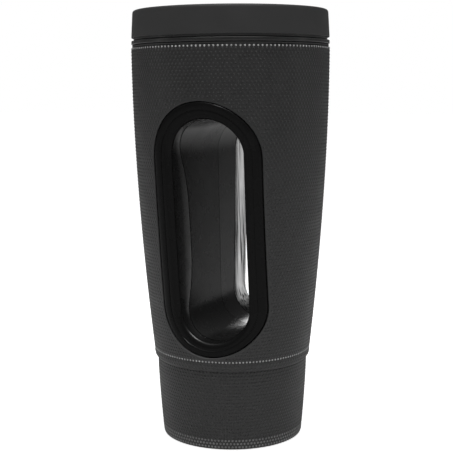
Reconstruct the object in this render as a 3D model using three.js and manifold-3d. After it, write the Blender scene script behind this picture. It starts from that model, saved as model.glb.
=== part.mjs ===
// A double-walled drinking tumbler with a slot through its body for the hand to grip.
// Millimetres, +Z up. The origin is the centre of the base. The slot runs along Y, the grip is
// on the +X side of it, and the drink is held above the slot and on its -X side.
import * as THREE from "three";
import { mergeVertices } from "three/addons/utils/BufferGeometryUtils.js";
import Module from "manifold-3d";

const wasm = await Module();
wasm.setup();

// Facets and fits
const TURN_FACETS = 48;
const SLOT_ARC_STEPS = 12;
const SLOT_SIDE_STEPS = 8;
const HOLE_FACETS = 16;
const SEAT_GAP = 0.3;
const OVERCUT = 5;

// Heights of the stack, from the base up
const FOOT_PAD_THICKNESS = 1.6;
const BASE_HEIGHT = 44.3;
const SHELL_HEIGHT = 150.1;
const RIM_SEAL_THICKNESS = 0.8;
const RIM_RING_HEIGHT = 1.9;
const LINER_FLANGE_THICKNESS = 2.0;
const LID_HEIGHT = 12.1;

// Base: the stepped foot that stands in a cup holder
const BASE_STEP = 1.65;
const BASE_DRAFT = 2.65;
const BASE_TAPER_POWER = 1.45;
const BASE_WALL = 2.0;
const BASE_EDGE_ROUND = 1.2;
const FOOT_CLEARANCE = 0.5;
const SPIGOT_LENGTH = 6.0;
const SPIGOT_WALL = 1.6;
const BASE_PLATE_THICKNESS = 2.4;
const BASE_PLATE_LEDGE = 1.6;
const BASE_SEAL_WIDTH = 1.5;
const BASE_SEAL_THICKNESS = 1.2;
const LINER_CUSHION_THICKNESS = 3.0;

// Outer shell: a flaring taper that stands on the base's rounded shoulder
const SHELL_TOP_RADIUS = 49.06;
const SHELL_FOOT_RADIUS = 39.6;
const SHELL_TAPER_POWER = 1.8;
const SHELL_WALL = 2.4;
const SHOULDER_HEIGHT = 4.3;
const SHOULDER_INSET = 1.3;
const AIR_GAP = 2.4;

// Liner: round at the mouth, and cut back to a D beside and below the slot
const LINER_WALL = 1.8;
const LINER_FLANGE_INSET = 1.3;
const LINER_FOOT_GAP = 1.5;
const LINER_NECK_RUN = 11.7;
const LINER_SLOT_GAP = 0.8;

// Grip slot: two round ends, the upper one a little larger and set a little to one side
const SLOT_RISE = 3.0;
const SLOT_HEIGHT = 121.6;
const SLOT_LOW_LIP = 6.9;
const SLOT_HIGH_LIP = 8.0;
const SLOT_CLEAR_LOW_X = 7.1;
const SLOT_CLEAR_LOW_RADIUS = 16.5;
const SLOT_CLEAR_HIGH_X = 6.6;
const SLOT_CLEAR_HIGH_RADIUS = 17.2;
const SLOT_TRIM_LOW_X = 6.3;
const SLOT_TRIM_LOW_RADIUS = 25.2;
const SLOT_TRIM_HIGH_X = 5.6;
const SLOT_TRIM_HIGH_RADIUS = 26.0;

// Grip bezels and the sleeve halves behind them
const BEZEL_RECESS = 0.4;
const BEZEL_ROLL_DEPTH = 3.0;
const BEZEL_ROLL_START = 0.52;
const BEZEL_ROLL_STEPS = 5;
const BEZEL_LIP_BACK = 1.4;
const BEZEL_FLANGE = 1.6;
const COLLAR_WALL = 2.2;
const COLLAR_DEPTH = 18.2;
const FRONT_COLLAR_END_DEPTH = 8.2;
const COLLAR_SWEEP_POWER = 4;
const SLEEVE_WALL = 1.8;
const SLEEVE_LAP = 4.0;
const SLEEVE_SEAM_Y = 6.0;

// Rim ring and rim seal between the shell and the liner's flange
const RIM_RING_INSET = 0.2;
const RIM_SEAL_INSET = 0.6;

// Lid
const LID_FOOT_INSET = 0.2;
const LID_TOP_INSET = 0.95;
const LID_EDGE_ROUND = 1.6;
const LID_RIM_WIDTH = 2.4;
const LID_DISH_DEPTH = 5.4;
const LID_DISH_SLOPE = 1.6;
const LID_DECK_THICKNESS = 2.4;
const LID_SKIRT_WALL = 2.2;
const LID_LIP_DROP = 1.2;
const PLUG_LENGTH = 14.0;
const PLUG_WALL = 3.2;
const PLUG_FLANGE_THICKNESS = 1.6;
const PLUG_CLEARANCE = 0.7;
const GASKET_HEIGHT = 3.4;
const GASKET_DEPTH = 1.1;
const GASKET_DROP = 6.0;

// Drinking hole, vent and slider
const DRINK_HOLE_WIDTH = 16.0;
const DRINK_HOLE_LENGTH = 8.0;
const DRINK_HOLE_ROUND = 3.5;
const DRINK_HOLE_RIM_GAP = 2.0;
const VENT_RADIUS = 1.6;
const SLIDER_TRAVEL = 13.0;
const SEAL_MARGIN = 1.4;
const SEAL_THICKNESS = 1.0;
const SLIDER_WALL = 1.6;
const SLIDER_LENGTH = 34.0;
const SLIDER_THICKNESS = 2.4;
const SLIDER_ROUND = 4.5;
const STEM_WIDTH = 5.6;
const STEM_LENGTH = 7.0;
const THUMB_RIDGE_LENGTH = 3.6;
const THUMB_RIDGE_HEIGHT = 2.0;
const KEEPER_MARGIN = 3.2;
const KEEPER_THICKNESS = 1.5;
const KEEPER_ROUND = 1.5;

// Radii and levels that follow from these
const BASE_TOP_RADIUS = SHELL_FOOT_RADIUS - BASE_STEP;
const BASE_FOOT_RADIUS = BASE_TOP_RADIUS - BASE_DRAFT;
const SEAM_Z = BASE_HEIGHT;
const SHELL_LOW_Z = SEAM_Z + SEAT_GAP;
const SHOULDER_Z = SEAM_Z - SHOULDER_HEIGHT;
const SHELL_HIGH_Z = SHELL_LOW_Z + SHELL_HEIGHT;
const RIM_SEAL_Z = SHELL_HIGH_Z + SEAT_GAP;
const RIM_RING_Z = RIM_SEAL_Z + RIM_SEAL_THICKNESS + SEAT_GAP;
const LINER_FLANGE_Z = RIM_RING_Z + RIM_RING_HEIGHT + SEAT_GAP;
const LINER_HIGH_Z = LINER_FLANGE_Z + LINER_FLANGE_THICKNESS;
const LID_LOW_Z = LINER_HIGH_Z + SEAT_GAP;
const LID_HIGH_Z = LID_LOW_Z + LID_HEIGHT;
const DECK_HIGH_Z = LID_HIGH_Z - LID_DISH_DEPTH;
const DECK_LOW_Z = DECK_HIGH_Z - LID_DECK_THICKNESS;
const SLOT_TRIM_LOW_Z = SEAM_Z + SLOT_RISE;
const SLOT_TRIM_HIGH_Z = SLOT_TRIM_LOW_Z + SLOT_HEIGHT;
const SLOT_CLEAR_LOW_Z = SLOT_TRIM_LOW_Z + SLOT_LOW_LIP;
const SLOT_CLEAR_HIGH_Z = SLOT_TRIM_HIGH_Z - SLOT_HIGH_LIP;
const SPIGOT_HIGH_Z = SEAM_Z + SPIGOT_LENGTH;
const SPIGOT_RADIUS = SHELL_FOOT_RADIUS - SHELL_WALL - SEAT_GAP;
const BASE_PLATE_Z = FOOT_PAD_THICKNESS + SEAT_GAP;
const BASE_SEAL_Z = BASE_PLATE_Z + BASE_PLATE_THICKNESS + SEAT_GAP;
const LINER_CUSHION_Z = BASE_PLATE_Z + BASE_PLATE_THICKNESS + SEAT_GAP;
const LINER_LOW_Z = LINER_CUSHION_Z + LINER_CUSHION_THICKNESS + SEAT_GAP;

function mix(a, b, t) {
  return a + (b - a) * t;
}

// Evenly spaced samples of a function from low to high, both ends included.
function samples(low, high, steps, at) {
  return Array.from({ length: steps + 1 }, (_, i) => at(mix(low, high, i / steps)));
}

// A quarter round from the point at angle `from` to the one at angle `to`, in degrees.
function roundCorner(radius, z, width, height, from, to, steps) {
  return samples(from, to, steps, (degrees) => {
    const angle = THREE.MathUtils.degToRad(degrees);
    return [radius + width * Math.cos(angle), z + height * Math.sin(angle)];
  });
}

function shellRadius(z) {
  const drop = Math.max(SHELL_HIGH_Z - z, 0) / SHELL_HEIGHT;
  return SHELL_TOP_RADIUS - (SHELL_TOP_RADIUS - SHELL_FOOT_RADIUS) * drop ** SHELL_TAPER_POWER;
}

function baseRadius(z) {
  const drop = Math.max(SHOULDER_Z - z, 0) / SHOULDER_Z;
  return BASE_TOP_RADIUS - BASE_DRAFT * drop ** BASE_TAPER_POWER;
}

// Booleans
function toSolid(geometry) {
  const bare = geometry.clone();
  bare.deleteAttribute("normal");
  bare.deleteAttribute("uv");
  const merged = mergeVertices(bare, 1e-4);
  const mesh = new wasm.Mesh({
    numProp: 3,
    vertProperties: new Float32Array(merged.attributes.position.array),
    triVerts: new Uint32Array(merged.index.array),
  });
  return new wasm.Manifold(mesh);
}

function toGeometry(solid) {
  const mesh = solid.getMesh();
  const geometry = new THREE.BufferGeometry();
  geometry.setAttribute("position", new THREE.BufferAttribute(new Float32Array(mesh.vertProperties), 3));
  geometry.setIndex(new THREE.BufferAttribute(new Uint32Array(mesh.triVerts), 1));
  geometry.computeVertexNormals();
  return geometry;
}

function cut(geometry, ...tools) {
  return toGeometry(tools.reduce((solid, tool) => solid.subtract(toSolid(tool)), toSolid(geometry)));
}

function join(geometry, ...others) {
  return toGeometry(others.reduce((solid, other) => solid.add(toSolid(other)), toSolid(geometry)));
}

// A body of revolution about Z from an outline of [radius, height] pairs, in either direction.
function turned(outline) {
  const area = outline.reduce((sum, [r, z], i) => {
    const [nextR, nextZ] = outline[(i + 1) % outline.length];
    return sum + r * nextZ - nextR * z;
  }, 0);
  const ordered = area > 0 ? outline : [...outline].reverse();
  const points = ordered.map(([r, z]) => new THREE.Vector2(r, z));
  const closesOnAxis = points[0].x === 0 && points.at(-1).x === 0;
  if (!closesOnAxis) points.push(points[0].clone());
  return new THREE.LatheGeometry(points, TURN_FACETS).rotateX(Math.PI / 2);
}

function ring(innerRadius, outerRadius, lowZ, height) {
  const highZ = lowZ + height;
  return turned([
    [innerRadius, lowZ],
    [outerRadius, lowZ],
    [outerRadius, highZ],
    [innerRadius, highZ],
  ]);
}

function disc(radius, lowZ, height) {
  return turned([
    [0, lowZ],
    [radius, lowZ],
    [radius, lowZ + height],
    [0, lowZ + height],
  ]);
}

// An upright block with rounded corners.
function roundedBlock(width, length, round, y, lowZ, height) {
  const x0 = -width / 2;
  const y0 = y - length / 2;
  const outline = new THREE.Shape();
  outline.moveTo(x0 + round, y0);
  outline.lineTo(x0 + width - round, y0);
  outline.absarc(x0 + width - round, y0 + round, round, -Math.PI / 2, 0);
  outline.absarc(x0 + width - round, y0 + length - round, round, 0, Math.PI / 2);
  outline.absarc(x0 + round, y0 + length - round, round, Math.PI / 2, Math.PI);
  outline.absarc(x0 + round, y0 + round, round, Math.PI, Math.PI * 1.5);
  const options = { depth: height, bevelEnabled: false, curveSegments: 3 };
  return new THREE.ExtrudeGeometry(outline, options).translate(0, 0, lowZ);
}

function block(width, length, y, lowZ, height) {
  return new THREE.BoxGeometry(width, length, height).translate(0, y, lowZ + height / 2);
}

// Grip slot outlines: the hull of a lower and an upper circle, seen along Y.
function circle(x, z, radius) {
  return { x, z, radius };
}

const CLEAR_OUTLINE = {
  low: circle(SLOT_CLEAR_LOW_X, SLOT_CLEAR_LOW_Z + SLOT_CLEAR_LOW_RADIUS, SLOT_CLEAR_LOW_RADIUS),
  high: circle(SLOT_CLEAR_HIGH_X, SLOT_CLEAR_HIGH_Z - SLOT_CLEAR_HIGH_RADIUS, SLOT_CLEAR_HIGH_RADIUS),
};
const TRIM_OUTLINE = {
  low: circle(SLOT_TRIM_LOW_X, SLOT_TRIM_LOW_Z + SLOT_TRIM_LOW_RADIUS, SLOT_TRIM_LOW_RADIUS),
  high: circle(SLOT_TRIM_HIGH_X, SLOT_TRIM_HIGH_Z - SLOT_TRIM_HIGH_RADIUS, SLOT_TRIM_HIGH_RADIUS),
};

function grown(outline, offset) {
  const wider = (end) => circle(end.x, end.z, end.radius + offset);
  return { low: wider(outline.low), high: wider(outline.high) };
}

function blended(a, b, t) {
  const between = (p, q) => circle(mix(p.x, q.x, t), mix(p.z, q.z, t), mix(p.radius, q.radius, t));
  return { low: between(a.low, b.low), high: between(a.high, b.high) };
}

// The outline's points as [x, z] pairs, anticlockwise: upper arc, -X side, lower arc, +X side.
function slotPoints(outline) {
  const { low, high } = outline;
  const tilt = Math.atan2(high.x - low.x, high.z - low.z);
  const lean = Math.asin((high.radius - low.radius) / Math.hypot(high.x - low.x, high.z - low.z));
  const onCircle = (end) => (angle) => [
    end.x + end.radius * Math.cos(angle - tilt),
    end.z + end.radius * Math.sin(angle - tilt),
  ];
  const upper = samples(-lean, Math.PI + lean, SLOT_ARC_STEPS, onCircle(high));
  const lower = samples(Math.PI + lean, 2 * Math.PI - lean, SLOT_ARC_STEPS, onCircle(low));
  const between = (a, b) =>
    samples(0, 1, SLOT_SIDE_STEPS, (t) => [mix(a[0], b[0], t), mix(a[1], b[1], t)]).slice(1, -1);
  return [...upper, ...between(upper.at(-1), lower[0]), ...lower, ...between(lower.at(-1), upper[0])];
}

// Loops of the slot's outline on the -Y side: laid on a skin at a depth under the shell's outer
// face, pushed straight in along the slot from that face by a depth for each height, or flat at one Y.
function loopUnderFace(outline, depth) {
  return slotPoints(outline).map(([x, z]) => {
    const radius = shellRadius(z) - depth;
    return new THREE.Vector3(x, -Math.sqrt(radius * radius - x * x), z);
  });
}

function loopAlongSlot(outline, depthAt) {
  return loopUnderFace(outline, 0).map((point) => point.setY(point.y + depthAt(point.z)));
}

function loopAtY(outline, y) {
  return slotPoints(outline).map(([x, z]) => new THREE.Vector3(x, y, z));
}

// A closed ring whose section runs through the given loops, one after the other.
function loftedRing(loops) {
  const around = loops[0].length;
  const positions = loops.flat().flatMap((point) => point.toArray());
  const index = [];
  loops.forEach((_, row) => {
    const next = (row + 1) % loops.length;
    for (let i = 0; i < around; i++) {
      const j = (i + 1) % around;
      const corners = [row * around + i, row * around + j, next * around + j, next * around + i];
      index.push(corners[0], corners[1], corners[2], corners[0], corners[2], corners[3]);
    }
  });
  const geometry = new THREE.BufferGeometry();
  geometry.setAttribute("position", new THREE.Float32BufferAttribute(positions, 3));
  geometry.setIndex(index);
  geometry.computeVertexNormals();
  return geometry;
}

// The same piece on the other face: a half turn would move the slot, so it is mirrored in Y.
function mirroredInY(geometry) {
  const mirrored = geometry.clone().scale(1, -1, 1);
  const index = mirrored.index.array;
  for (let i = 0; i < index.length; i += 3) {
    [index[i + 1], index[i + 2]] = [index[i + 2], index[i + 1]];
  }
  mirrored.computeVertexNormals();
  return mirrored;
}

// A prism of the slot's outline right through the body along Y.
function slotPrism(outline) {
  const shape = new THREE.Shape(slotPoints(outline).map(([x, z]) => new THREE.Vector2(x, z)));
  const depth = 2 * (SHELL_TOP_RADIUS + OVERCUT);
  const geometry = new THREE.ExtrudeGeometry(shape, { depth, bevelEnabled: false });
  return geometry.rotateX(Math.PI / 2).translate(0, depth / 2, 0);
}

// Base
function footPad() {
  return disc(BASE_FOOT_RADIUS - BASE_WALL - BASE_PLATE_LEDGE, 0, FOOT_PAD_THICKNESS);
}

function basePlateRadius() {
  return baseRadius(BASE_PLATE_Z) - BASE_WALL - SEAT_GAP;
}

function basePlate() {
  return disc(basePlateRadius(), BASE_PLATE_Z, BASE_PLATE_THICKNESS);
}

function baseSeal() {
  const outerRadius = basePlateRadius();
  return ring(outerRadius - BASE_SEAL_WIDTH, outerRadius, BASE_SEAL_Z, BASE_SEAL_THICKNESS);
}

function baseShell() {
  const lipRadius = BASE_FOOT_RADIUS - BASE_WALL - BASE_PLATE_LEDGE + SEAT_GAP;
  const edgeZ = FOOT_CLEARANCE + BASE_EDGE_ROUND;
  const edgeRadius = baseRadius(edgeZ) - BASE_EDGE_ROUND;
  const lipHighZ = BASE_PLATE_Z - SEAT_GAP;
  const innerLow = baseRadius(lipHighZ) - BASE_WALL;
  const ledgeZ = SEAM_Z - BASE_WALL;
  const whole = turned([
    [lipRadius, FOOT_CLEARANCE],
    ...roundCorner(edgeRadius, edgeZ, BASE_EDGE_ROUND, BASE_EDGE_ROUND, -90, 0, 3),
    ...samples(edgeZ, SHOULDER_Z, 4, (z) => [baseRadius(z), z]).slice(1),
    ...roundCorner(SHELL_FOOT_RADIUS - SHOULDER_INSET, SEAM_Z, SHOULDER_INSET, SHOULDER_HEIGHT, -90, 0, 4),
    [SPIGOT_RADIUS, SEAM_Z],
    [SPIGOT_RADIUS, SPIGOT_HIGH_Z],
    [SPIGOT_RADIUS - SPIGOT_WALL, SPIGOT_HIGH_Z],
    [SPIGOT_RADIUS - SPIGOT_WALL, ledgeZ],
    [innerLow, lipHighZ],
    [lipRadius, lipHighZ],
  ]);
  // The spigot is notched where the bezels' flanges reach down behind the shell.
  return cut(whole, slotPrism(grown(TRIM_OUTLINE, BEZEL_FLANGE + SEAT_GAP)));
}

// Liner
function linerRadius(z) {
  return shellRadius(z) - SHELL_WALL - AIR_GAP;
}

function linerFootRadius() {
  return baseRadius(LINER_LOW_Z) - BASE_WALL - LINER_FOOT_GAP;
}

// The liner's outside line, from the foot up past the neck to the flange.
function linerSide(inset, lowZ, highZ) {
  const neckZ = SPIGOT_HIGH_Z;
  const neckRadius = SPIGOT_RADIUS - SPIGOT_WALL - LINER_FOOT_GAP;
  const bodyZ = neckZ + LINER_NECK_RUN;
  const body = samples(bodyZ, highZ, 5, (z) => [linerRadius(z) - inset, z]);
  return [[linerFootRadius() - inset, lowZ], [neckRadius - inset, neckZ], ...body];
}

// What the liner gives up for the slot: everything on the grip side, up to above the slot.
function slotNotch(inset) {
  const { low, high } = CLEAR_OUTLINE;
  const gripX = Math.min(low.x - low.radius, high.x - high.radius);
  const wallX = gripX - COLLAR_WALL - LINER_SLOT_GAP - inset;
  const highZ = SLOT_TRIM_HIGH_Z + LINER_SLOT_GAP + inset;
  const reach = SHELL_TOP_RADIUS + OVERCUT;
  const width = reach - wallX;
  const height = highZ + OVERCUT;
  return new THREE.BoxGeometry(width, 2 * reach, height).translate(
    wallX + width / 2,
    0,
    highZ - height / 2,
  );
}

function linerCushion() {
  const radius = basePlateRadius() - BASE_SEAL_WIDTH - SEAT_GAP;
  return cut(disc(radius, LINER_CUSHION_Z, LINER_CUSHION_THICKNESS), slotNotch(0));
}

function liner() {
  const flangeRadius = SHELL_TOP_RADIUS - LINER_FLANGE_INSET;
  const outside = turned([
    [0, LINER_LOW_Z],
    ...linerSide(0, LINER_LOW_Z, LINER_FLANGE_Z),
    [flangeRadius, LINER_FLANGE_Z],
    [flangeRadius, LINER_HIGH_Z],
    [0, LINER_HIGH_Z],
  ]);
  const mouthZ = LINER_HIGH_Z + OVERCUT;
  const side = linerSide(LINER_WALL, LINER_LOW_Z + LINER_WALL, LINER_HIGH_Z);
  const inside = turned([
    [0, LINER_LOW_Z + LINER_WALL],
    ...side,
    [side.at(-1)[0], mouthZ],
    [0, mouthZ],
  ]);
  const cavity = cut(inside, slotNotch(LINER_WALL));
  return cut(outside, slotNotch(0), cavity);
}

// Rim
function rimRing() {
  const innerRadius = linerRadius(SHELL_HIGH_Z) + SEAT_GAP;
  return ring(innerRadius, SHELL_TOP_RADIUS - RIM_RING_INSET, RIM_RING_Z, RIM_RING_HEIGHT);
}

function rimSeal() {
  const innerRadius = linerRadius(SHELL_HIGH_Z) + SEAT_GAP;
  return ring(innerRadius, SHELL_TOP_RADIUS - RIM_SEAL_INSET, RIM_SEAL_Z, RIM_SEAL_THICKNESS);
}

// Outer shell
function outerShell() {
  const outside = samples(SHELL_LOW_Z, SHELL_HIGH_Z, 8, (z) => [shellRadius(z), z]);
  const inside = samples(SHELL_HIGH_Z, SHELL_LOW_Z + SPIGOT_LENGTH, 5, (z) => {
    return [shellRadius(z) - SHELL_WALL, z];
  });
  const whole = turned([...outside, ...inside, [SHELL_FOOT_RADIUS - SHELL_WALL, SHELL_LOW_Z]]);
  return cut(whole, slotPrism(grown(TRIM_OUTLINE, SEAT_GAP)));
}

// Grip
// How far in a collar's back edge lies at each height: full depth midway, another depth at both ends.
function collarDepth(endDepth) {
  const middleZ = (SLOT_CLEAR_LOW_Z + SLOT_CLEAR_HIGH_Z) / 2;
  const halfHeight = (SLOT_CLEAR_HIGH_Z - SLOT_CLEAR_LOW_Z) / 2;
  return (z) => {
    const share = Math.min(Math.abs(z - middleZ) / halfHeight, 1);
    return mix(COLLAR_DEPTH, endDepth, Math.sin((share * Math.PI) / 2) ** COLLAR_SWEEP_POWER);
  };
}

function bezel(endDepth) {
  const backOfShell = SHELL_WALL + SEAT_GAP;
  const backOfLip = backOfShell + BEZEL_LIP_BACK;
  const flange = grown(TRIM_OUTLINE, BEZEL_FLANGE);
  const collar = grown(CLEAR_OUTLINE, COLLAR_WALL);
  const rollLoops = samples(0, Math.PI / 2, BEZEL_ROLL_STEPS, (angle) => {
    const across = BEZEL_ROLL_START * (1 - Math.sin(angle));
    const down = BEZEL_ROLL_DEPTH * (1 - Math.cos(angle));
    return loopUnderFace(blended(CLEAR_OUTLINE, TRIM_OUTLINE, across), BEZEL_RECESS + down);
  });
  return loftedRing([
    loopUnderFace(TRIM_OUTLINE, BEZEL_RECESS),
    ...rollLoops,
    loopAlongSlot(CLEAR_OUTLINE, collarDepth(endDepth)),
    loopAlongSlot(collar, collarDepth(endDepth)),
    loopUnderFace(collar, backOfLip),
    loopUnderFace(flange, backOfLip),
    loopUnderFace(flange, backOfShell),
    loopUnderFace(TRIM_OUTLINE, backOfShell),
  ]);
}

function sleeveStart(endDepth) {
  return (z) => collarDepth(endDepth)(z) + SEAT_GAP;
}

// The front half carries the lap: a socket round the end of the rear half.
function frontSleeve() {
  const wall = grown(CLEAR_OUTLINE, SLEEVE_WALL);
  const socketInner = grown(CLEAR_OUTLINE, SLEEVE_WALL / 2 + SEAT_GAP / 2);
  const start = sleeveStart(FRONT_COLLAR_END_DEPTH);
  return loftedRing([
    loopAlongSlot(CLEAR_OUTLINE, start),
    loopAtY(CLEAR_OUTLINE, SLEEVE_SEAM_Y),
    loopAtY(socketInner, SLEEVE_SEAM_Y),
    loopAtY(socketInner, SLEEVE_SEAM_Y + SLEEVE_LAP),
    loopAtY(wall, SLEEVE_SEAM_Y + SLEEVE_LAP),
    loopAlongSlot(wall, start),
  ]);
}

function rearSleeve() {
  const wall = grown(CLEAR_OUTLINE, SLEEVE_WALL);
  const tongue = grown(CLEAR_OUTLINE, SLEEVE_WALL / 2 - SEAT_GAP / 2);
  const start = sleeveStart(COLLAR_DEPTH);
  const endY = -SLEEVE_SEAM_Y - SEAT_GAP;
  const shoulderY = endY - SLEEVE_LAP;
  return mirroredInY(
    loftedRing([
      loopAlongSlot(CLEAR_OUTLINE, start),
      loopAtY(CLEAR_OUTLINE, endY),
      loopAtY(tongue, endY),
      loopAtY(tongue, shoulderY),
      loopAtY(wall, shoulderY),
      loopAlongSlot(wall, start),
    ]),
  );
}

// Lid
const PLUG_RADIUS = linerRadius(LINER_HIGH_Z - PLUG_LENGTH) - LINER_WALL - PLUG_CLEARANCE;
const PLUG_LOW_Z = LINER_HIGH_Z - PLUG_LENGTH;
const GASKET_Z = LINER_HIGH_Z - GASKET_DROP - GASKET_HEIGHT;
const DRINK_HOLE_REACH = Math.sqrt(PLUG_RADIUS ** 2 - (DRINK_HOLE_WIDTH / 2) ** 2);
const DRINK_HOLE_Y = PLUG_WALL + DRINK_HOLE_RIM_GAP + DRINK_HOLE_LENGTH / 2 - DRINK_HOLE_REACH;
const SLIDER_FRONT_Y = DRINK_HOLE_Y - DRINK_HOLE_LENGTH / 2 - SEAL_MARGIN - SEAT_GAP - SLIDER_WALL;
const SLIDER_WIDTH = DRINK_HOLE_WIDTH + 2 * (SEAL_MARGIN + SEAT_GAP + SLIDER_WALL);
const STEM_Y = SLIDER_FRONT_Y + SLIDER_LENGTH - STEM_LENGTH;
const SLIDER_Z = DECK_HIGH_Z + SEAT_GAP;
const KEEPER_Z = DECK_LOW_Z - SEAT_GAP - KEEPER_THICKNESS;

function lidCap() {
  const footRadius = SHELL_TOP_RADIUS - LID_FOOT_INSET;
  const topRadius = SHELL_TOP_RADIUS - LID_TOP_INSET;
  const edgeRadius = topRadius - LID_EDGE_ROUND;
  const rimInner = topRadius - LID_EDGE_ROUND - LID_RIM_WIDTH;
  const skirtInner = footRadius - LID_SKIRT_WALL;
  const lipInner = SHELL_TOP_RADIUS - LINER_FLANGE_INSET + SEAT_GAP;
  const edge = roundCorner(edgeRadius, LID_HIGH_Z - LID_EDGE_ROUND, LID_EDGE_ROUND, LID_EDGE_ROUND, 0, 90, 4);
  const whole = turned([
    [0, DECK_LOW_Z],
    [skirtInner, DECK_LOW_Z],
    [skirtInner, LID_LOW_Z],
    [lipInner, LID_LOW_Z],
    [lipInner, LID_LOW_Z - LID_LIP_DROP],
    [footRadius, LID_LOW_Z - LID_LIP_DROP],
    ...edge,
    [rimInner, LID_HIGH_Z],
    [rimInner - LID_DISH_SLOPE, DECK_HIGH_Z],
    [0, DECK_HIGH_Z],
  ]);
  const toolZ = DECK_LOW_Z - OVERCUT;
  const toolHeight = LID_DECK_THICKNESS + 2 * OVERCUT;
  const drinkHole = roundedBlock(
    DRINK_HOLE_WIDTH,
    DRINK_HOLE_LENGTH,
    DRINK_HOLE_ROUND,
    DRINK_HOLE_Y,
    toolZ,
    toolHeight,
  );
  const track = block(
    STEM_WIDTH + 2 * SEAT_GAP,
    STEM_LENGTH + SLIDER_TRAVEL + 2 * SEAT_GAP,
    STEM_Y + SLIDER_TRAVEL / 2,
    toolZ,
    toolHeight,
  );
  const vent = new THREE.CylinderGeometry(VENT_RADIUS, VENT_RADIUS, toolHeight, HOLE_FACETS)
    .rotateX(Math.PI / 2)
    .translate(0, -DRINK_HOLE_Y, toolZ + toolHeight / 2);
  return cut(whole, drinkHole, track, vent);
}

function lidPlug() {
  const flangeHighZ = DECK_LOW_Z - SEAT_GAP;
  const flangeLowZ = flangeHighZ - PLUG_FLANGE_THICKNESS;
  const flangeRadius = SHELL_TOP_RADIUS - LID_FOOT_INSET - LID_SKIRT_WALL - SEAT_GAP;
  const innerRadius = PLUG_RADIUS - PLUG_WALL;
  const grooveRadius = PLUG_RADIUS - GASKET_DEPTH;
  return turned([
    [innerRadius, PLUG_LOW_Z],
    [PLUG_RADIUS, PLUG_LOW_Z],
    [PLUG_RADIUS, GASKET_Z - SEAT_GAP],
    [grooveRadius, GASKET_Z - SEAT_GAP],
    [grooveRadius, GASKET_Z + GASKET_HEIGHT + SEAT_GAP],
    [PLUG_RADIUS, GASKET_Z + GASKET_HEIGHT + SEAT_GAP],
    [PLUG_RADIUS, flangeLowZ],
    [flangeRadius, flangeLowZ],
    [flangeRadius, flangeHighZ],
    [innerRadius, flangeHighZ],
  ]);
}

function lidGasket() {
  const outerRadius = linerRadius(GASKET_Z) - LINER_WALL - SEAT_GAP;
  return ring(PLUG_RADIUS - GASKET_DEPTH + SEAT_GAP, outerRadius, GASKET_Z, GASKET_HEIGHT);
}

function sliderSeal() {
  return roundedBlock(
    DRINK_HOLE_WIDTH + 2 * SEAL_MARGIN,
    DRINK_HOLE_LENGTH + 2 * SEAL_MARGIN,
    DRINK_HOLE_ROUND + SEAL_MARGIN,
    DRINK_HOLE_Y,
    SLIDER_Z,
    SEAL_THICKNESS,
  );
}

function drinkSlider() {
  const plate = roundedBlock(
    SLIDER_WIDTH,
    SLIDER_LENGTH,
    SLIDER_ROUND,
    SLIDER_FRONT_Y + SLIDER_LENGTH / 2,
    SLIDER_Z,
    SLIDER_THICKNESS,
  );
  const pocket = roundedBlock(
    DRINK_HOLE_WIDTH + 2 * (SEAL_MARGIN + SEAT_GAP),
    DRINK_HOLE_LENGTH + 2 * (SEAL_MARGIN + SEAT_GAP),
    DRINK_HOLE_ROUND + SEAL_MARGIN + SEAT_GAP,
    DRINK_HOLE_Y,
    SLIDER_Z - OVERCUT,
    SEAL_THICKNESS + SEAT_GAP + OVERCUT,
  );
  const ridgeY = SLIDER_FRONT_Y + SLIDER_LENGTH - SLIDER_ROUND - THUMB_RIDGE_LENGTH / 2;
  const ridge = roundedBlock(
    SLIDER_WIDTH - 2 * SLIDER_ROUND,
    THUMB_RIDGE_LENGTH,
    THUMB_RIDGE_LENGTH / 2 - SEAT_GAP,
    ridgeY,
    SLIDER_Z + SLIDER_THICKNESS / 2,
    SLIDER_THICKNESS / 2 + THUMB_RIDGE_HEIGHT,
  );
  const stemHeight = SLIDER_Z + SLIDER_THICKNESS / 2 - KEEPER_Z;
  const stem = block(STEM_WIDTH, STEM_LENGTH, STEM_Y, KEEPER_Z, stemHeight);
  return join(cut(plate, pocket), ridge, stem);
}

function sliderKeeper() {
  const plate = roundedBlock(
    STEM_WIDTH + 2 * KEEPER_MARGIN,
    STEM_LENGTH + 2 * KEEPER_MARGIN,
    KEEPER_ROUND,
    STEM_Y,
    KEEPER_Z,
    KEEPER_THICKNESS,
  );
  const hole = block(
    STEM_WIDTH + 2 * SEAT_GAP,
    STEM_LENGTH + 2 * SEAT_GAP,
    STEM_Y,
    KEEPER_Z - OVERCUT,
    KEEPER_THICKNESS + 2 * OVERCUT,
  );
  return cut(plate, hole);
}

// Materials
function plastic(color, roughness) {
  return () => new THREE.MeshStandardMaterial({ color, roughness, metalness: 0 });
}

const satinPlastic = plastic(0x1d1d1e, 0.55);
const mattePlastic = plastic(0x1c1c1d, 0.7);
const glossPlastic = plastic(0x101011, 0.15);
const softRubber = plastic(0x0b0b0c, 0.8);
const silicone = plastic(0x3a3a3c, 0.6);
const linerPlastic = plastic(0x161617, 0.35);

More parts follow.
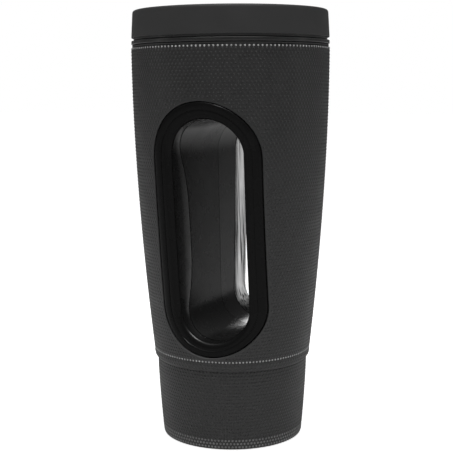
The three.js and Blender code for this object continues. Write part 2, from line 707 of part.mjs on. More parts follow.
const PIECES = [
  ["foot_pad", footPad, softRubber],
  ["base_plate", basePlate, mattePlastic],
  ["base_seal", baseSeal, silicone],
  ["base_shell", baseShell, satinPlastic],
  ["liner_cushion", linerCushion, softRubber],
  ["liner", liner, linerPlastic],
  ["outer_shell", outerShell, satinPlastic],
  ["rim_seal", rimSeal, silicone],
  ["rim_ring", rimRing, glossPlastic],
  ["front_bezel", () => bezel(FRONT_COLLAR_END_DEPTH), softRubber],
  ["rear_bezel", () => mirroredInY(bezel(COLLAR_DEPTH)), softRubber],
  ["front_sleeve", frontSleeve, glossPlastic],
  ["rear_sleeve", rearSleeve, glossPlastic],
  ["lid_cap", lidCap, mattePlastic],
  ["lid_plug", lidPlug, linerPlastic],
  ["lid_gasket", lidGasket, silicone],
  ["drink_slider", drinkSlider, mattePlastic],
  ["slider_seal", sliderSeal, silicone],
  ["slider_keeper", sliderKeeper, mattePlastic],
];

const tumbler = new THREE.Group();
for (const [name, build, material] of PIECES) {
  const mesh = new THREE.Mesh(build(), material());
  mesh.name = name;
  tumbler.add(mesh);
}

export default tumbler;
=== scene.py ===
"""A black drinking tumbler with a dotted shell, a stepped base, a lid and a rubber-edged grip slot."""
import math

import bmesh
import bpy
from mathutils import Matrix, Vector


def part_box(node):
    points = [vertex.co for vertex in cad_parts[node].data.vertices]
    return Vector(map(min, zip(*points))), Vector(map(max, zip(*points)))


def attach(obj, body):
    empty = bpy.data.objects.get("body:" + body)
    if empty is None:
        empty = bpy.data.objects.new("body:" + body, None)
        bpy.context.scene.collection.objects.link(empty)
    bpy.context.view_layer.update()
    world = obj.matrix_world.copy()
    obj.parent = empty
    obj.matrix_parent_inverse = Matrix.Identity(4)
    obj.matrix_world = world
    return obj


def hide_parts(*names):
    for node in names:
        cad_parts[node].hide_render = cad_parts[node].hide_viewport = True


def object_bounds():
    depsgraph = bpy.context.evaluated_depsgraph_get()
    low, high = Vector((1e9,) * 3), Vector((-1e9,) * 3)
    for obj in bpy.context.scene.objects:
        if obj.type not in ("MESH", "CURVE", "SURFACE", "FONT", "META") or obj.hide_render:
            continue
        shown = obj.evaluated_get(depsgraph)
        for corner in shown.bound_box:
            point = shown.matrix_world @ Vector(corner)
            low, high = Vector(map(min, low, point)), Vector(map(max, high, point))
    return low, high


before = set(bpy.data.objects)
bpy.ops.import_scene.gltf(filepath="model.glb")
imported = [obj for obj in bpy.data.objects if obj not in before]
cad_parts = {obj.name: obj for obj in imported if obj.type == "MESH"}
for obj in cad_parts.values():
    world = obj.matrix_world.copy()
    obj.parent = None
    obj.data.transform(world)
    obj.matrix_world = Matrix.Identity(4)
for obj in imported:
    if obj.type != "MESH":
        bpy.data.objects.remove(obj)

CAD_LOW, CAD_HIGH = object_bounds()
MM = 0.001
VESSEL, LID, SLIDER = "vessel", "lid", "slider"

# Finish sizes that the frame doesn't hold
DOT_HEIGHT = 0.16 * MM
DOT_RADIUS = 0.62 * MM
EDGE_DOT_RADIUS = 0.52 * MM
DOT_ROW_PITCH = 1.66 * MM
DOTS_AROUND_SHELL = 150
DOTS_AROUND_BASE = 132
SHELL_TAPER_POWER = 1.8
BASE_TAPER_POWER = 1.45
BASE_STEP = 1.65 * MM
BASE_DRAFT = 2.65 * MM
SHOULDER_HEIGHT = 4.3 * MM
SHOULDER_INSET = 1.3 * MM
SHOULDER_POWER = 3
SHELL_WALL = 2.4 * MM
BASE_WALL = 2 * MM
SPIGOT_WALL = 1.6 * MM
LINER_WALL = 1.8 * MM
LINER_FLANGE_THICKNESS = 2 * MM
LINER_NECK_RUN = 11.7 * MM
LINER_NOTCH_CORNER = 5 * MM
AIR_GAP = 2.4 * MM
SLOT_CHAMFER = 0.35 * MM
SEAT_GAP = 0.3 * MM
BEZEL_FLANGE = 1.6 * MM
BEZEL_RECESS = 0.4 * MM
BEZEL_ROLL_DEPTH = 3 * MM
BEZEL_ROLL_START = 0.52
COLLAR_DEPTH = 18.2 * MM
FRONT_COLLAR_END_DEPTH = 8.2 * MM
COLLAR_SWEEP_POWER = 4
COLLAR_WALL = 2.2 * MM
SLEEVE_WALL = 1.8 * MM
SLEEVE_SEAM_Y = 6 * MM
SLEEVE_DRAFT = math.radians(0.7)
SLEEVE_RUN = 38 * MM
CLEAR_LOW, CLEAR_HIGH = (7.1 * MM, 16.5 * MM), (6.6 * MM, 17.2 * MM)
TRIM_LOW, TRIM_HIGH = (6.3 * MM, 25.2 * MM), (5.6 * MM, 26.0 * MM)
SLEEVE_LAP = 4 * MM
TURN_FACETS = 192
# How far a cutter runs to stand clear of the whole object
CLEAR_OF_ALL = 80 * MM
# A face whose normal is at least this upright is level, and is shaded flat
LEVEL_FACE = 0.99999


# ---------------------------------------------------------------- reading the frame
def level_radius(node, z, reach=0.15 * MM):
    """The largest radius of a CAD node's vertices at one height."""
    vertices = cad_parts[node].data.vertices
    return max(math.hypot(v.co.x, v.co.y) for v in vertices if abs(v.co.z - z) < reach)


def span(node, axis):
    low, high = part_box(node)
    return low[axis], high[axis]


SHELL_LOW, SHELL_HIGH = span("outer_shell", 2)
SHELL_TOP_RADIUS = level_radius("outer_shell", SHELL_HIGH)
SHELL_FOOT_RADIUS = level_radius("outer_shell", SHELL_LOW)
BASE_LOW = span("base_shell", 2)[0]
SEAM_Z = SHELL_LOW - SEAT_GAP
SHOULDER_Z = SEAM_Z - SHOULDER_HEIGHT
BASE_TOP_RADIUS = SHELL_FOOT_RADIUS - BASE_STEP


def mix(a, b, t):
    return a + (b - a) * t


def steps(low, high, count):
    return [mix(low, high, i / count) for i in range(count + 1)]


def shell_radius(z):
    drop = max(SHELL_HIGH - z, 0) / (SHELL_HIGH - SHELL_LOW)
    return SHELL_TOP_RADIUS - (SHELL_TOP_RADIUS - SHELL_FOOT_RADIUS) * drop ** SHELL_TAPER_POWER


def shoulder_radius(z):
    return SHELL_FOOT_RADIUS - SHOULDER_INSET * ((SEAM_Z - z) / SHOULDER_HEIGHT) ** SHOULDER_POWER


def base_radius(z):
    drop = max(SHOULDER_Z - z, 0) / SHOULDER_Z
    return BASE_TOP_RADIUS - BASE_DRAFT * drop ** BASE_TAPER_POWER


# ---------------------------------------------------------------- meshes
def mesh_from(name, vertices, faces):
    mesh = bpy.data.meshes.new(name)
    mesh.from_pydata([tuple(v) for v in vertices], [], faces)
    work = bmesh.new()
    work.from_mesh(mesh)
    bmesh.ops.remove_doubles(work, verts=work.verts, dist=1e-7)
    bmesh.ops.recalc_face_normals(work, faces=work.faces)
    work.to_mesh(mesh)
    work.free()
    return mesh


def soften(mesh, sharp_degrees=35):
    """Smooth shading that keeps the edges sharper than an angle crisp."""
    mesh.polygons.foreach_set("use_smooth", [True] * len(mesh.polygons))
    mesh.set_sharp_from_angle(angle=math.radians(sharp_degrees))
    for face in mesh.polygons:
        if abs(face.normal.z) > LEVEL_FACE:
            face.use_smooth = False
    return mesh


def filleted(corners, arc_steps=4):
    """An outline of (radius, z, fillet) corners as (radius, z) points, with each fillet as an arc."""
    points = []
    count = len(corners)
    for i, (r, z, fillet) in enumerate(corners):
        here = Vector((r, z))
        before = Vector(corners[i - 1][:2]) - here
        after = Vector(corners[(i + 1) % count][:2]) - here
        if fillet <= 0 or before.length < 1e-9 or after.length < 1e-9:
            points.append((r, z))
            continue
        turn = before.angle(after)
        reach = min(fillet / math.tan(turn / 2), 0.48 * before.length, 0.48 * after.length)
        start = here + before.normalized() * reach
        end = here + after.normalized() * reach
        for t in steps(0, 1, arc_steps):
            near = start.lerp(here, t)
            far = here.lerp(end, t)
            points.append(tuple(near.lerp(far, t)))
    return points


def turned(name, outline, facets=TURN_FACETS):
    """A closed body of revolution about Z from (radius, z) points; points on the axis close it."""
    vertices, rows = [], []
    for r, z in outline:
        if r < 1e-9:
            rows.append([len(vertices)] * facets)
            vertices.append((0, 0, z))
            continue
        rows.append(list(range(len(vertices), len(vertices) + facets)))
        for i in range(facets):
            angle = 2 * math.pi * i / facets
            vertices.append((r * math.cos(angle), r * math.sin(angle), z))
    closed = outline[0][0] > 1e-9 or outline[-1][0] > 1e-9
    pairs = list(zip(rows, rows[1:])) + ([(rows[-1], rows[0])] if closed else [])
    faces = []
    for low, high in pairs:
        for i in range(facets):
            j = (i + 1) % facets
            corners = [low[i], low[j], high[j], high[i]]
            face = [c for k, c in enumerate(corners) if c != corners[k - 1]]
            if len(face) > 2:
                faces.append(face)
    return mesh_from(name, vertices, faces)


def through(name, loops, flat_ends):
    """A solid whose skin runs through the loops, as a closed ring or with two flat ends."""
    around = len(loops[0])
    vertices = [point for loop in loops for point in loop]
    rows = len(loops) - 1 if flat_ends else len(loops)
    faces = []
    for row in range(rows):
        here, after = row * around, (row + 1) % len(loops) * around
        for i in range(around):
            j = (i + 1) % around
            faces.append((here + i, here + j, after + j, after + i))
    if flat_ends:
        faces.append(tuple(range(around)))
        faces.append(tuple(range(len(vertices) - around, len(vertices))))
    return mesh_from(name, vertices, faces)


def ring_of(name, loops):
    return through(name, loops, False)


def plug_of(name, loops):
    return through(name, loops, True)


def mirrored_y(points):
    return [Vector((p.x, -p.y, p.z)) for p in points]


def arc_points(x, y, radius, degrees):
    turns = [math.radians(angle) for angle in degrees]
    return [(x + radius * math.cos(turn), y + radius * math.sin(turn)) for turn in turns]


def rounded_rectangle(width, length, corner, centre_y, arc_steps=6):
    points = []
    for quarter, (sx, sy) in enumerate(((1, 1), (-1, 1), (-1, -1), (1, -1))):
        cx = sx * (width / 2 - corner)
        cy = centre_y + sy * (length / 2 - corner)
        points += arc_points(cx, cy, corner, steps(quarter * 90, quarter * 90 + 90, arc_steps))
    return points


def slab(name, outline, low_z, high_z, edge=0.0, edge_steps=3):
    """An upright slab over an outline of (x, y) points, with its top and bottom edges rounded."""
    centre = Vector((sum(p[0] for p in outline), sum(p[1] for p in outline))) / len(outline)

    def level(z, inset):
        loop = []
        for x, y in outline:
            out = Vector((x, y)) - centre
            shrink = max(1 - inset / max(out.length, 1e-9), 0)
            loop.append(Vector((centre.x + out.x * shrink, centre.y + out.y * shrink, z)))
        return loop

    if edge <= 0:
        return plug_of(name, [level(low_z, 0), level(high_z, 0)])
    turns = steps(0, math.pi / 2, edge_steps)
    rounding = [(edge * (1 - math.sin(a)), edge * (1 - math.cos(a))) for a in turns]
    lower = [level(low_z + rise, inset) for rise, inset in reversed(rounding)]
    upper = [level(high_z - rise, inset) for rise, inset in rounding]
    return plug_of(name, lower + upper)


def evaluated(item):
    """The object's mesh with its modifiers applied, and the object left without them."""
    depsgraph = bpy.context.evaluated_depsgraph_get()
    mesh = bpy.data.meshes.new_from_object(item.evaluated_get(depsgraph))
    item.modifiers.clear()
    old = item.data
    item.data = mesh
    bpy.data.meshes.remove(old)
    return item


def added(name, mesh):
    item = bpy.data.objects.new(name, mesh)
    bpy.context.scene.collection.objects.link(item)
    return item


def combined(item, operation, *meshes):
    """Joins closed meshes to an object, or cuts them out of it."""
    for mesh in meshes:
        tool = added("tool", mesh)
        boolean = item.modifiers.new("boolean", "BOOLEAN")
        boolean.object = tool
        boolean.operation = operation
        boolean.solver = "EXACT"
        evaluated(item)
        bpy.data.objects.remove(tool)


def carve(item, *cutters, bevel=0.0):
    """Cuts solids out of an object, then rounds the sharp edges that are left."""
    combined(item, "DIFFERENCE", *cutters)
    if bevel > 0:
        rounding = item.modifiers.new("edge", "BEVEL")
        rounding.width = bevel
        rounding.segments = 2
        rounding.limit_method = "ANGLE"
        rounding.angle_limit = math.radians(40)
        rounding.harden_normals = False
        evaluated(item)


def finished(item, body, slot, material, *nodes):
    """Gives a piece its material and body, and hides the CAD nodes that it stands for. Its slot is not used.
    """
    item.data.materials.clear()
    item.data.materials.append(material)
    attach(item, body)
    if nodes:
        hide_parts(*nodes)
    return item


# ---------------------------------------------------------------- shader parts
def add(tree, kind, **settings):
    node = tree.nodes.new(kind)
    for key, value in settings.items():
        setattr(node, key, value)
    return node


def new_group(name, inputs, outputs):
    group = bpy.data.node_groups.new(name, "ShaderNodeTree")
    for label, kind, default in inputs:
        socket = group.interface.new_socket(label, in_out="INPUT", socket_type=kind)
        socket.default_value = default
    for label, kind in outputs:
        group.interface.new_socket(label, in_out="OUTPUT", socket_type=kind)
    return group, add(group, "NodeGroupInput"), add(group, "NodeGroupOutput")


def feed(tree, socket, value):
    """Sets a socket to a constant, or links another node's output to it."""
    if isinstance(value, (int, float, tuple)):
        socket.default_value = value
    else:
        tree.links.new(value, socket)


def calculated(tree, operation, *operands, clamp=False):
    node = add(tree, "ShaderNodeMath", operation=operation, use_clamp=clamp)
    for socket, value in zip(node.inputs, operands):
        feed(tree, socket, value)
    return node.outputs[0]


def ramp(tree, value, from_low, from_high, to_low=0.0, to_high=1.0):
    node = add(tree, "ShaderNodeMapRange")
    labels = ("Value", "From Min", "From Max", "To Min", "To Max")
    for label, entry in zip(labels, (value, from_low, from_high, to_low, to_high)):
        feed(tree, node.inputs[label], entry)
    return node.outputs["Result"]


def noise(tree, place, scale, detail=2.0):
    texture = add(tree, "ShaderNodeTexNoise")
    for label, entry in (("Vector", place), ("Scale", scale), ("Detail", detail)):
        feed(tree, texture.inputs[label], entry)
    return texture.outputs["Fac"]


def blended(tree, factor, first, second):
    """The first colour where the factor is 0 and the second where it is 1."""
    node = add(tree, "ShaderNodeMix", data_type="RGBA")
    for socket, entry in ((node.inputs["Factor"], factor), (node.inputs[6], first), (node.inputs[7], second)):
        feed(tree, socket, entry)
    return node.outputs[2]


def object_place(tree):
    return add(tree, "ShaderNodeTexCoord").outputs["Object"]


def make_moulding_group():
    """Colour drift, shine drift and spark-etched grain of a moulded black plastic."""
    group, source, sink = new_group(
        "moulded_skin",
        [("Colour", "NodeSocketColor", (0.02, 0.02, 0.02, 1)),
         ("Lighter Colour", "NodeSocketColor", (0.03, 0.03, 0.03, 1)),
         ("Roughness Low", "NodeSocketFloat", 0.4),
         ("Roughness High", "NodeSocketFloat", 0.5),
         ("Drift Scale", "NodeSocketFloat", 60.0),
         ("Grain Scale", "NodeSocketFloat", 2400.0)],
        [("Colour", "NodeSocketColor"), ("Roughness", "NodeSocketFloat"), ("Grain", "NodeSocketFloat")],
    )
    given = source.outputs
    place = object_place(group)
    drift = noise(group, place, given["Drift Scale"], 4.0)
    results = {
        "Colour": blended(group, drift, given["Colour"], given["Lighter Colour"]),
        "Roughness": ramp(group, drift, 0.35, 0.65, given["Roughness Low"], given["Roughness High"]),
        "Grain": noise(group, place, given["Grain Scale"]),
    }
    for label, result in results.items():
        group.links.new(result, sink.inputs[label])
    return group


def make_edge_group():
    """A mask that is 1 on sharp outer edges: edges lightened by handling, and a painted highlight where a
    material mixes it in strongly.
    """
    group, source, sink = new_group(
        "rubbed_and_lit_edges",
        [("Reach", "NodeSocketFloat", 0.54), ("Breakup Scale", "NodeSocketFloat", 220.0)],
        [("Mask", "NodeSocketFloat")],
    )
    curvature = add(group, "ShaderNodeNewGeometry").outputs["Pointiness"]
    edge = ramp(group, curvature, source.outputs["Reach"], 0.62)
    breakup = noise(group, object_place(group), source.outputs["Breakup Scale"])
    group.links.new(calculated(group, "MULTIPLY", edge, breakup, clamp=True), sink.inputs["Mask"])
    return group


def make_dust_group():
    """Sparse pale specks, in patches, as on handled rubber and dark gloss plastic."""
    group, source, sink = new_group(
        "fine_dust",
        [("Scale", "NodeSocketFloat", 900.0), ("Amount", "NodeSocketFloat", 0.1)],
        [("Mask", "NodeSocketFloat")],
    )
    place = object_place(group)
    specks = add(group, "ShaderNodeTexVoronoi", feature="F1")
    group.links.new(place, specks.inputs["Vector"])
    group.links.new(source.outputs["Scale"], specks.inputs["Scale"])
    near = calculated(group, "LESS_THAN", specks.outputs["Distance"], 0.12)
    patches = calculated(group, "GREATER_THAN", noise(group, place, 45.0), 0.55)
    both = calculated(group, "MULTIPLY", near, patches)
    amount = calculated(group, "MULTIPLY", both, source.outputs["Amount"])
    group.links.new(amount, sink.inputs["Mask"])
    return group


def make_streak_group():
    """Fine upright streaks, as left where a moulding is drawn off its tool."""
    group, source, sink = new_group(
        "drawn_streaks",
        [("Fineness", "NodeSocketFloat", 700.0), ("Length", "NodeSocketFloat", 0.05)],
        [("Mask", "NodeSocketFloat")],
    )
    place = add(group, "ShaderNodeSeparateXYZ")
    group.links.new(object_place(group), place.inputs[0])
    stretched = add(group, "ShaderNodeCombineXYZ")
    along = calculated(group, "MULTIPLY", place.outputs["Z"], source.outputs["Length"])
    for socket, entry in zip(stretched.inputs, (place.outputs["X"], place.outputs["Y"], along)):
        group.links.new(entry, socket)
    lines = noise(group, stretched.outputs[0], source.outputs["Fineness"])
    group.links.new(ramp(group, lines, 0.38, 0.62), sink.inputs["Mask"])
    return group


MOULDED_SKIN = make_moulding_group()
RUBBED_AND_LIT_EDGES = make_edge_group()
FINE_DUST = make_dust_group()
DRAWN_STREAKS = make_streak_group()
DUST_COLOUR = (0.16, 0.16, 0.155, 1)
WEAR_AND_SHEEN_GAIN = 1.9
GRAIN_DEPTH = 0.2 * MM


def grey(value):
    return (value, value, value, 1)


def plastic(name, colour, lighter, roughness, drift=60.0, grain=2400.0, bump=0.02, edge=0.25, dust=0.0,
            specular=0.5, streaks=0.0):
    """A moulded plastic or rubber with drifting colour and shine, grain, and outer edges lightened as rubbed
    wear and as painted highlight.

    Dust and upright streaks are left out unless asked for. Streaks show on faces that look across Y.
    """
    material = bpy.data.materials.new(name)
    material.use_nodes = True
    tree = material.node_tree
    surface = tree.nodes["Principled BSDF"]
    skin = add(tree, "ShaderNodeGroup", node_tree=MOULDED_SKIN)
    for label, value in (
        ("Colour", grey(colour)),
        ("Lighter Colour", grey(lighter)),
        ("Roughness Low", roughness[0]),
        ("Roughness High", roughness[1]),
        ("Drift Scale", drift),
        ("Grain Scale", grain),
    ):
        skin.inputs[label].default_value = value
    rubbed_or_lit = add(tree, "ShaderNodeGroup", node_tree=RUBBED_AND_LIT_EDGES)
    # Edge lightening: rubbed wear on most materials, and a painted highlight on the much lighter satins of
    # the dot rows
    wear_and_sheen = calculated(tree, "MULTIPLY", rubbed_or_lit.outputs["Mask"], edge)
    tint = blended(tree, wear_and_sheen, skin.outputs["Colour"], grey(lighter * WEAR_AND_SHEEN_GAIN))
    if dust > 0:
        specks = add(tree, "ShaderNodeGroup", node_tree=FINE_DUST)
        specks.inputs["Amount"].default_value = dust
        tint = blended(tree, specks.outputs["Mask"], tint, DUST_COLOUR)
    tree.links.new(tint, surface.inputs["Base Color"])
    surface.inputs["Specular IOR Level"].default_value = specular
    if streaks > 0:
        drawn = add(tree, "ShaderNodeGroup", node_tree=DRAWN_STREAKS)
        way = add(tree, "ShaderNodeSeparateXYZ")
        tree.links.new(add(tree, "ShaderNodeTexCoord").outputs["Normal"], way.inputs[0])
        facing_y = calculated(tree, "ABSOLUTE", way.outputs["Y"])
        streaked = calculated(tree, "MULTIPLY", drawn.outputs["Mask"], streaks)
        level = ramp(tree, facing_y, 0.1, 0.3, streaked, specular)
        tree.links.new(level, surface.inputs["Specular IOR Level"])
    tree.links.new(skin.outputs["Roughness"], surface.inputs["Roughness"])
    relief = add(tree, "ShaderNodeBump")
    relief.inputs["Strength"].default_value = bump
    relief.inputs["Distance"].default_value = GRAIN_DEPTH
    tree.links.new(skin.outputs["Grain"], relief.inputs["Height"])
    tree.links.new(relief.outputs["Normal"], surface.inputs["Normal"])
    return material


SHELL_SATIN = plastic("charcoal_satin_shell", 0.024, 0.031, (0.38, 0.46), drift=90, grain=2600, bump=0.12)
# Painted highlight: a much lighter satin for the top and bottom dot rows of the shell, where its edges catch
# the light
EDGE_HIGHLIGHT_SATIN = plastic("painted_highlight_satin_edge", 0.05, 0.6, (0.32, 0.5), drift=300, grain=2600, bump=0.12, edge=0.5)
# A lighter satin for the lowest dot rows of the foot, lightest at the dot tips
LIGHTER_FOOT_SATIN = plastic("lighter_satin_foot", 0.03, 0.28, (0.36, 0.5), drift=300, grain=2600, bump=0.12,
                        edge=0.4)
LID_MATTE = plastic("matte_black_lid", 0.03, 0.036, (0.5, 0.6), drift=70, grain=3200, bump=0.25)
BAND_GLOSS = plastic("gloss_black_band", 0.022, 0.03, (0.2, 0.27), drift=120, grain=900, bump=0.03, dust=0.2)
SLEEVE_GLOSS = plastic("gloss_black_sleeve", 0.014, 0.02, (0.22, 0.3), drift=55, grain=700, bump=0.03,
                       dust=0.04, specular=0.14)
GRIP_RUBBER = plastic("soft_black_rubber", 0.0025, 0.0035, (0.24, 0.3), drift=110, grain=2100, bump=0.04,
                      dust=0.05, specular=0.09)
FAR_GRIP_RUBBER = plastic("drawn_black_rubber", 0.0025, 0.0035, (0.28, 0.34), drift=110, grain=2100,
                          bump=0.04, dust=0.05, specular=0.09, streaks=0.35)
SEAL_SILICONE = plastic("grey_silicone", 0.045, 0.06, (0.45, 0.6), drift=130, grain=1800, bump=0.12, edge=0.1)
# The liner's own near-black plastic, raised partly as painted light where its flange shows in the shaded gap
# under the lid
LINER_PLASTIC = plastic("semi_gloss_liner", 0.028, 0.034, (0.26, 0.36), drift=50, grain=1500, bump=0.08)
# Painted light: the rim gasket's rubber is lighter than the other rubbers, to lift the shaded gap under the
# lid
RIM_RUBBER = plastic("rim_rubber", 0.035, 0.045, (0.5, 0.62), drift=110, grain=2100, bump=0.1)
FOOT_RUBBER = plastic("foot_rubber", 0.01, 0.014, (0.6, 0.75), drift=140, grain=1700, bump=0.3, dust=0.5)


# ---------------------------------------------------------------- the slot's outlines
class Outline:
    """The hull of a lower and an upper circle, each an (x, z, radius), seen along Y."""

    def __init__(self, low, high):
        self.low, self.high = low, high

    def grown(self, offset):
        return Outline(*((x, z, radius + offset) for x, z, radius in (self.low, self.high)))

    def towards(self, other, t):
        low = tuple(mix(a, b, t) for a, b in zip(self.low, other.low))
        high = tuple(mix(a, b, t) for a, b in zip(self.high, other.high))
        return Outline(low, high)

    def points(self, arc_steps=40, side_steps=36):
        run, rise = self.high[0] - self.low[0], self.high[1] - self.low[1]
        tilt = math.atan2(run, rise)
        lean = math.asin((self.high[2] - self.low[2]) / math.hypot(run, rise))

        def arc(end, first, last):
            x, z, radius = end
            turns = [a - tilt for a in steps(first, last, arc_steps)]
            return [(x + radius * math.cos(a), z + radius * math.sin(a)) for a in turns]

        def side(a, b):
            return [(mix(a[0], b[0], t), mix(a[1], b[1], t)) for t in steps(0, 1, side_steps)[1:-1]]

        upper = arc(self.high, -lean, math.pi + lean)
        lower = arc(self.low, math.pi + lean, 2 * math.pi - lean)
        return upper + side(upper[-1], lower[0]) + lower + side(lower[-1], upper[0])


def outline_in(node, border, low_end, high_end):
    """The outline inside a CAD piece's border, from the (x, radius) of its two ends."""
    (low_x, low_radius), (high_x, high_radius) = low_end, high_end
    low_z, high_z = span(node, 2)
    low = (low_x, low_z + border + low_radius, low_radius)
    return Outline(low, (high_x, high_z - border - high_radius, high_radius))


CLEAR = outline_in("front_sleeve", SLEEVE_WALL, CLEAR_LOW, CLEAR_HIGH)
TRIM = outline_in("front_bezel", BEZEL_FLANGE, TRIM_LOW, TRIM_HIGH)


def under_face(outline, depth):
    """A loop on a skin at a depth under the shell's outer face, on the -Y side."""
    loop = []
    for x, z in outline.points():
        radius = shell_radius(z) - depth
        loop.append(Vector((x, -math.sqrt(radius * radius - x * x), z)))
    return loop


def along_slot(outline, depth_at):
    """A loop straight in from the shell's face, by a depth for each height."""
    return [Vector((p.x, p.y + depth_at(p.z), p.z)) for p in under_face(outline, 0)]


def collar_depth(end_depth, further=0.0):
    """How far in a collar's back edge lies at each height: full depth midway, another at both ends."""
    clear_low, clear_high = CLEAR.low[1] - CLEAR.low[2], CLEAR.high[1] + CLEAR.high[2]
    middle, half_height = (clear_low + clear_high) / 2, (clear_high - clear_low) / 2

    def depth_at(z):
        share = min(abs(z - middle) / half_height, 1)
        return further + mix(COLLAR_DEPTH, end_depth, math.sin(share * math.pi / 2) ** COLLAR_SWEEP_POWER)

    return depth_at


def flat_loop(outline, y):
    return [Vector((x, y, z)) for x, z in outline.points()]


# ---------------------------------------------------------------- raised dots
class Field:
    """Builds a geometry node tree a formula at a time."""

    def __init__(self, name, inputs):
        self.tree = bpy.data.node_groups.new(name, "GeometryNodeTree")
        self.sockets = {}
        for label, kind in inputs:
            socket = self.tree.interface.new_socket(label, in_out="INPUT", socket_type=kind)
            self.sockets[label] = socket.identifier
        self.tree.interface.new_socket("Geometry", in_out="OUTPUT", socket_type="NodeSocketGeometry")
        self.source = self.tree.nodes.new("NodeGroupInput")
        self.sink = self.tree.nodes.new("NodeGroupOutput")

    def value(self, label):
        return self.source.outputs[label]

    def node(self, kind, **settings):
        return add(self.tree, kind, **settings)

    def link(self, output, node, label):
        self.tree.links.new(output, node.inputs[label])

    def math(self, operation, *operands):
        return calculated(self.tree, operation, *operands)

    def vector(self, x, y, z):
        node = self.node("ShaderNodeCombineXYZ")
        for socket, operand in zip(node.inputs, (x, y, z)):
            feed(self.tree, socket, operand)
        return node.outputs[0]

    def finish(self, geometry):
        """Ends the tree: instances made real, in the material that is given."""
        real = self.node("GeometryNodeRealizeInstances")
        self.link(geometry, real, "Geometry")
        painted = self.node("GeometryNodeSetMaterial")
        self.link(real.outputs[0], painted, "Geometry")
        self.link(self.value("Material"), painted, "Material")
        self.link(painted.outputs[0], self.sink, "Geometry")


DOT_SIZES = [
    "Lowest Row",
    "Row Pitch",
    "Top Radius",
    "Top Level",
    "Taper Length",
    "Taper Drop",
    "Taper Power",
    "Dot Radius",
    "Dot Height",
    *(f"Slot {end} {size}" for size in ("Centre", "Level", "Radius") for end in ("Low", "High")),
]
DOT_INPUTS = [
    ("Geometry", "NodeSocketGeometry"),
    *((label, "NodeSocketInt") for label in ("Dots Around", "Rows")),
    *((label, "NodeSocketFloat") for label in DOT_SIZES),
    ("Material", "NodeSocketMaterial"),
]


def make_dot_tree():
    """Staggered rows of low dots on a tapering wall, left out where the slot cuts it."""
    f = Field("staggered_dots", DOT_INPUTS)
    around, rows = f.value("Dots Around"), f.value("Rows")
    index = f.node("GeometryNodeInputIndex").outputs[0]
    row = f.math("FLOOR", f.math("DIVIDE", f.math("ADD", index, 0.5), around))
    column = f.math("SUBTRACT", index, f.math("MULTIPLY", row, around))
    stagger = f.math("MULTIPLY", f.math("MODULO", row, 2), 0.5)
    turn = f.math("MULTIPLY", f.math("DIVIDE", f.math("ADD", column, stagger), around), 2 * math.pi)
    z = f.math("ADD", f.value("Lowest Row"), f.math("MULTIPLY", row, f.value("Row Pitch")))
    below = f.math("MAXIMUM", f.math("SUBTRACT", f.value("Top Level"), z), 0)
    share = f.math("DIVIDE", below, f.value("Taper Length"))
    drop = f.math("MULTIPLY", f.value("Taper Drop"), f.math("POWER", share, f.value("Taper Power")))
    radius = f.math("SUBTRACT", f.value("Top Radius"), drop)
    x = f.math("MULTIPLY", radius, f.math("COSINE", turn))
    y = f.math("MULTIPLY", radius, f.math("SINE", turn))

    points = f.node("GeometryNodePoints")
    f.link(f.math("MULTIPLY", around, rows), points, "Count")
    f.link(f.vector(x, y, z), points, "Position")

    low, high = f.value("Slot Low Level"), f.value("Slot High Level")
    nearest = f.math("MINIMUM", f.math("MAXIMUM", z, low), high)
    along = f.math("DIVIDE", f.math("SUBTRACT", nearest, low), f.math("SUBTRACT", high, low))

    def at_nearest(size):
        first, last = f.value(f"Slot Low {size}"), f.value(f"Slot High {size}")
        return f.math("ADD", first, f.math("MULTIPLY", along, f.math("SUBTRACT", last, first)))

    limit = at_nearest("Radius")
    across = f.math("SUBTRACT", x, at_nearest("Centre"))
    up = f.math("SUBTRACT", z, nearest)
    squared = f.math("ADD", f.math("MULTIPLY", across, across), f.math("MULTIPLY", up, up))
    clear_of_slot = f.math("GREATER_THAN", f.math("SQRT", squared), limit)

    slope = f.math("DIVIDE", f.math("MULTIPLY", drop, f.value("Taper Power")), f.math("MAXIMUM", below, 1e-5))
    normal = f.vector(f.math("COSINE", turn), f.math("SINE", turn), f.math("MULTIPLY", slope, -1))
    facing = f.node("FunctionNodeAlignRotationToVector", axis="Z")
    f.link(normal, facing, "Vector")

    dome = f.node("GeometryNodeMeshCone", fill_type="NGON")
    dome.inputs["Vertices"].default_value = 6
    dome.inputs["Side Segments"].default_value = 1
    dome.inputs["Radius Top"].default_value = 0
    f.link(f.value("Dot Radius"), dome, "Radius Bottom")
    f.link(f.value("Dot Height"), dome, "Depth")
    placed = f.node("GeometryNodeInstanceOnPoints")
    f.link(points.outputs[0], placed, "Points")
    f.link(clear_of_slot, placed, "Selection")
    f.link(dome.outputs["Mesh"], placed, "Instance")
    f.link(facing.outputs[0], placed, "Rotation")
    f.finish(placed.outputs[0])
    return f


DOT_FIELD = make_dot_tree()


def shaped(item, field, material, **sizes):
    """Runs a geometry tree on an object with its named sizes, and keeps the mesh that comes out."""
    modifier = item.modifiers.new("field", "NODES")
    modifier.node_group = field.tree
    for label, value in {**sizes, "Material": material}.items():
        modifier[field.sockets[label.replace("_", " ")]] = value
    return evaluated(item)


